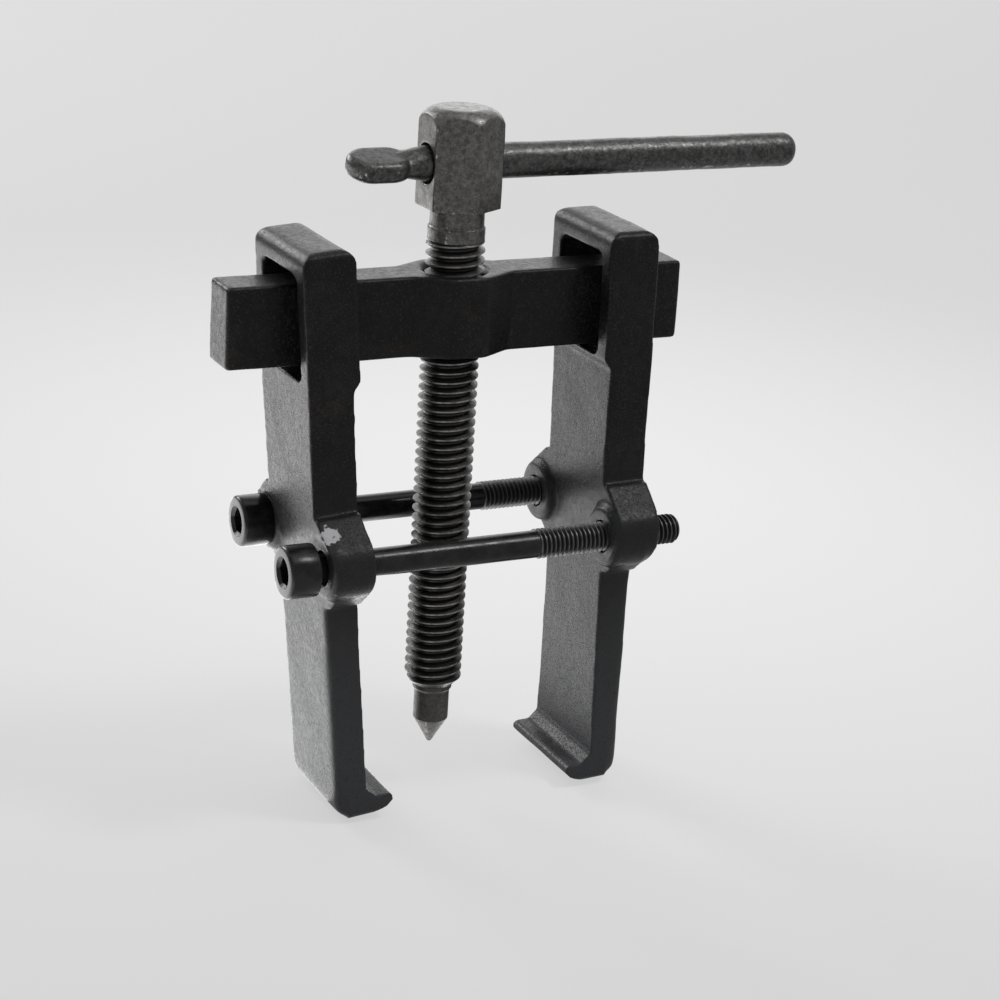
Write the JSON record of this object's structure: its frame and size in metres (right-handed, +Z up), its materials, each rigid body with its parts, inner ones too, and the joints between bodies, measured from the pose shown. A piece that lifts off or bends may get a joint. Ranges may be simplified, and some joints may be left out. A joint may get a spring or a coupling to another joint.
{
  "type": "gear puller",
  "caption": "Small two-jaw gear puller: a forcing screw with a sliding handle, a crossbar, and hooked jaws tied by long screws.",
  "frame": {"origin": "on the forcing screw's axis, level with the soles of the jaws' feet", "axes": "+Z up along the forcing screw, +X along the crossbar towards the tapped jaw, +Y across the jaws"},
  "size_m": [0.1011, 0.0348, 0.1154],
  "materials": {
    "black_paint": "semi-gloss black paint over a fine forged grain",
    "dark_steel": "dark phosphated steel, rough, with bright worn edges",
    "black_oxide": "black oxide with a light oil sheen"
  },
  "bodies": {
    "crossbar": {"crossbar": "black_paint"},
    "left_jaw": {"left_arm": "black_paint"},
    "right_jaw": {"right_arm": "black_paint"},
    "front_bolt": {"front_tie_bolt": "black_oxide"},
    "rear_bolt": {"rear_tie_bolt": "black_oxide"},
    "point": {"centre_point": "dark_steel"},
    "screw": {"forcing_screw": "dark_steel"},
    "handle": {"tommy_bar": "dark_steel"}
  },
  "joints": [
    {"name": "screw_feed", "type": "slide", "parent": "crossbar", "child": "point", "axis": [0, 0, -1], "range_m": [-0.04445, 0.00635]},
    {"name": "screw_turn", "type": "hinge", "parent": "point", "child": "screw", "pos_m": [0, 0, 0.06], "axis": [0, 0, -1], "range_deg": [-10080, 1440]},
    {"name": "handle_slide", "type": "slide", "parent": "screw", "child": "handle", "axis": [1, 0, 0], "range_m": [-0.045, 0.001]},
    {"name": "jaws_along_bar", "type": "slide", "parent": "crossbar", "child": "left_jaw", "axis": [1, 0, 0], "range_m": [-0.006, 0.003]},
    {"name": "jaw_spread", "type": "slide", "parent": "left_jaw", "child": "right_jaw", "axis": [1, 0, 0], "range_m": [-0.008, 0.004]},
    {"name": "front_bolt_turn", "type": "hinge", "parent": "left_jaw", "child": "front_bolt", "pos_m": [-0.0262, -0.012, 0.0461], "axis": [-1, 0, 0], "range_deg": [-3601, 1801]},
    {"name": "rear_bolt_turn", "type": "hinge", "parent": "left_jaw", "child": "rear_bolt", "pos_m": [-0.0262, 0.012, 0.0461], "axis": [-1, 0, 0], "range_deg": [-3601, 1801]}
  ],
  "couplings": [
    {"joint": "screw_feed", "follows": "screw_turn", "m_per_rad": 0.00025266},
    {"joint": "front_bolt_turn", "follows": "jaw_spread", "rad_per_m": 7854},
    {"joint": "rear_bolt_turn", "follows": "jaw_spread", "rad_per_m": 7854}
  ]
}
